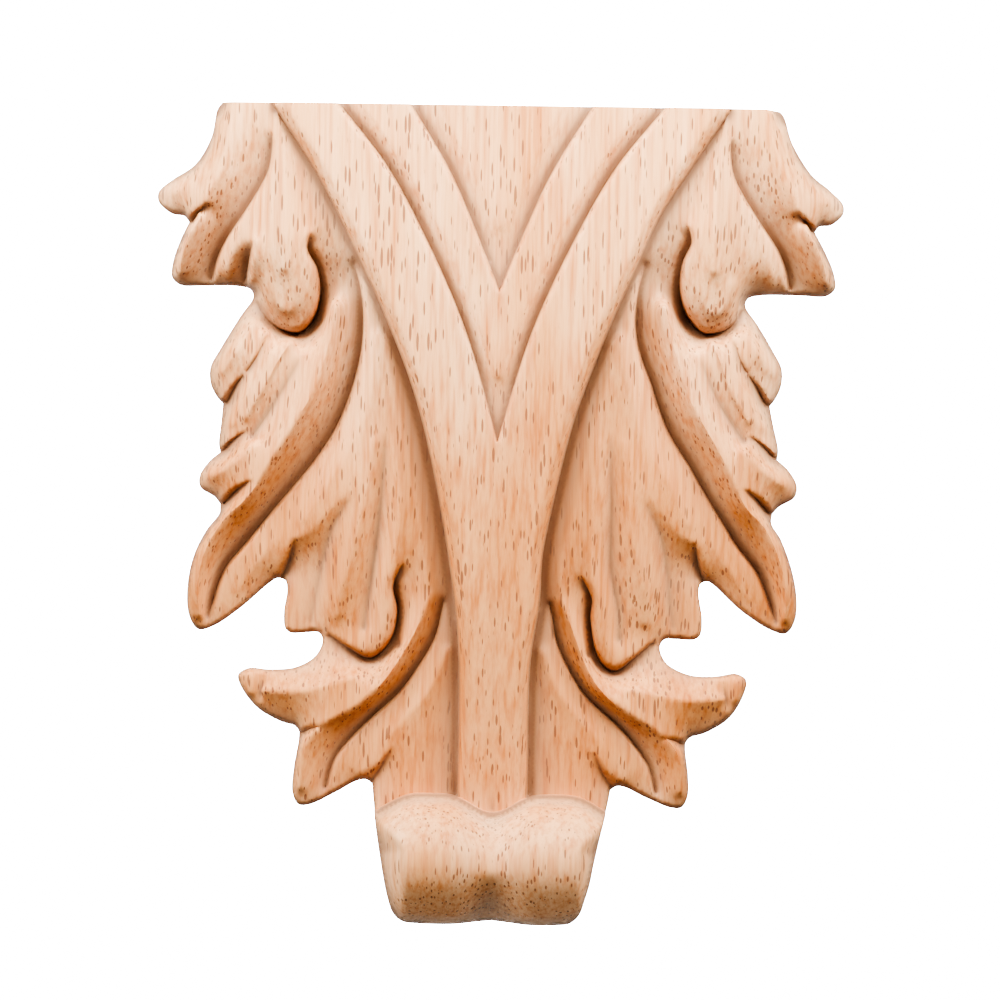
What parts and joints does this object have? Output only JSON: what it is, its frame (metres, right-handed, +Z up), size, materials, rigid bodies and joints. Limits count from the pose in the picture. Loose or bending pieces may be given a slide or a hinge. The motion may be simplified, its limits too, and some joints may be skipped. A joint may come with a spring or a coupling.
{
  "type": "acanthus applique",
  "caption": "Carved hardwood wall or cabinet applique: a V-banded stem with curling acanthus lobes either side and a rolled scroll at the foot, on a flat back.",
  "frame": {"origin": "on the flat back face, on the middle line of the stem, half way up between the cut top edge and the underside of the scroll", "axes": "+Z up, from the scroll towards the cut top edge; -Y out of the wall towards the viewer, so +Y is into the wall; +X to the viewer's right"},
  "size_m": [0.1385, 0.028, 0.165],
  "materials": {
    "bare_hardwood": "bare sanded pale hardwood with open reddish-brown pores, no stain or varnish"
  },
  "bodies": {
    "root": {"acanthus_applique": "bare_hardwood"}
  },
  "joints": []
}
